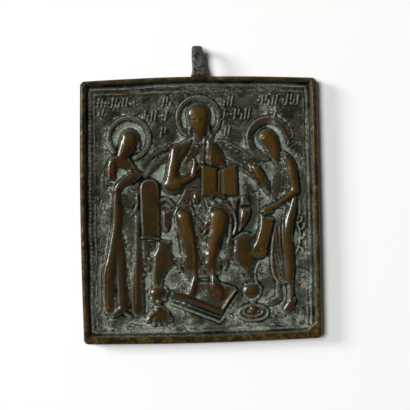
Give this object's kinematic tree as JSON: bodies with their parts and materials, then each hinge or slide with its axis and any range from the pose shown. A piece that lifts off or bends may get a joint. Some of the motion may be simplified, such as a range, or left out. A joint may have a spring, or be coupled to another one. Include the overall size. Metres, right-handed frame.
{
  "type": "bronze icon",
  "caption": "Small cast bronze relief plaque with a raised rim, enthroned and standing figures, and a suspension eye on its top edge.",
  "frame": {"origin": "centre of the flat back of the plate, the suspension eye left out of the centring", "axes": "+Z out of the picture, +Y up the picture towards the suspension eye, +X to the viewer's right"},
  "size_m": [0.0545, 0.0678, 0.0048],
  "materials": {
    "patinated_bronze": "cast and worn: brown polished high points, grey-brown ground, grey-green deposits in the hollows"
  },
  "bodies": {
    "root": {"icon": "patinated_bronze"}
  },
  "joints": []
}
